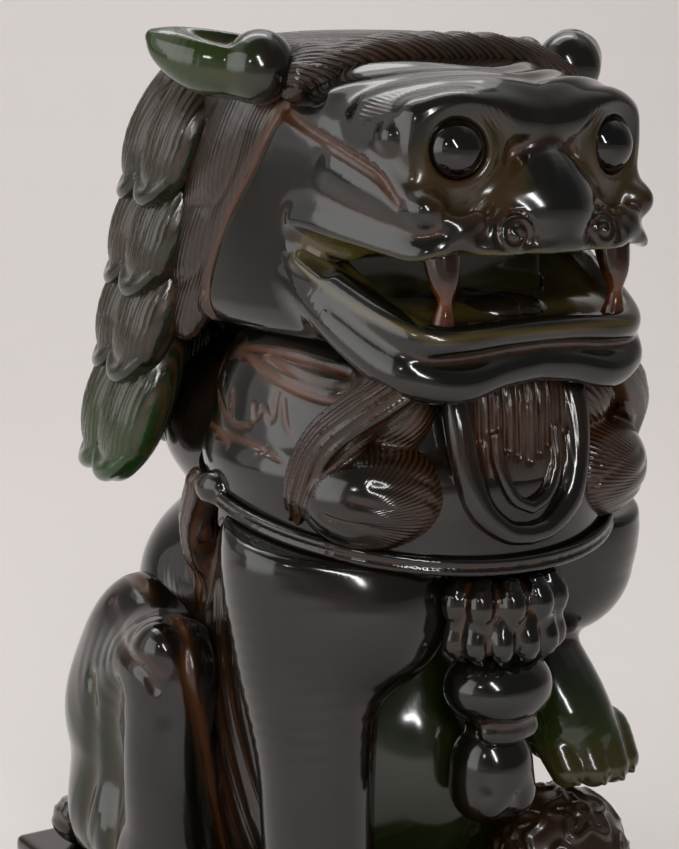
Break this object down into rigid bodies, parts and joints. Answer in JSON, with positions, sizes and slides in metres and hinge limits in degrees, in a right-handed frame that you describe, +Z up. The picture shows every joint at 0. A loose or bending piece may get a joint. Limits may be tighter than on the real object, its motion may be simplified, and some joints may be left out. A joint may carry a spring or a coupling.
{
  "type": "guardian lion statue",
  "caption": "Seated Chinese guardian lion (foo dog) in dark green resin, left paw on a ball, tiered mane, open mouth and a beaded chest tassel, on a low plinth.",
  "frame": {"origin": "centre of the plinth's underside", "axes": "+Z up, the lion faces -Y, its right side is -X"},
  "size_m": [0.124, 0.1698, 0.2457],
  "materials": {
    "resin": "polished, near-black green, translucent at thin edges",
    "stained_resin": "polished, with brown stain left in the carved lines",
    "amber_resin": "polished, amber translucent",
    "eye_resin": "polished black"
  },
  "bodies": {
    "root": {"plinth": "resin", "torso": "resin", "haunch_right": "resin", "haunch_left": "resin", "hind_paw_right": "resin", "hind_paw_left": "resin", "foreleg_right": "resin", "foreleg_left": "resin", "brocade_ball": "stained_resin", "cape": "resin", "collar_band": "stained_resin", "head": "resin", "lower_jaw": "resin", "tongue": "stained_resin", "fang_right": "amber_resin", "fang_left": "amber_resin", "gum_ridge": "stained_resin", "eye_right": "eye_resin", "eye_left": "eye_resin", "ear_right": "resin", "ear_left": "resin", "crest": "stained_resin", "mane_row_1": "stained_resin", "mane_row_2": "stained_resin", "mane_row_3": "stained_resin", "mane_row_4": "stained_resin", "beard": "stained_resin", "beard_tuft_right": "stained_resin", "beard_tuft_left": "stained_resin", "tassel_bell": "resin", "tassel_bead": "resin", "tassel_drop": "resin", "tail": "stained_resin"}
  },
  "joints": []
}
